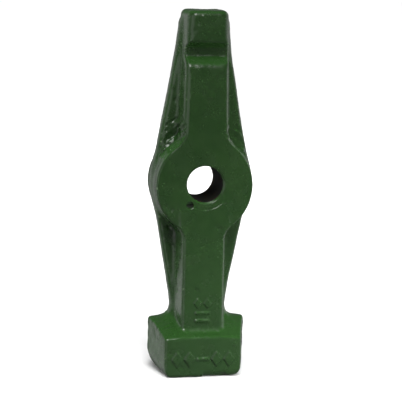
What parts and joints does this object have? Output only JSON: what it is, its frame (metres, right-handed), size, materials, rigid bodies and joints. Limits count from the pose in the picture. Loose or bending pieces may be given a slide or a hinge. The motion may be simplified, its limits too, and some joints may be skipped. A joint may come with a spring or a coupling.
{
  "type": "two-arm pivot lever",
  "caption": "Painted forged two-arm lever with a bushed cross bore at its middle, a hooked nose above and a block foot below.",
  "frame": {"origin": "middle of the pivot bore, halfway along the bush", "axes": "+Z along the arms towards the hooked nose, Y along the pivot bore with the grooved face of the nose on the -Y side, +X across the lever to the right as seen from the grooved face"},
  "size_m": [0.0556, 0.0462, 0.2012],
  "materials": {
    "green_paint": "glossy dark green enamel over a rough forged surface",
    "bush_steel": "dark oiled steel, bare inside the bore, green paint on its two end faces",
    "screw_steel": "black oxide with overspray"
  },
  "bodies": {
    "root": {"lever_casting": "green_paint", "pivot_bush": "bush_steel", "bush_lock_screw": "screw_steel"}
  },
  "joints": []
}
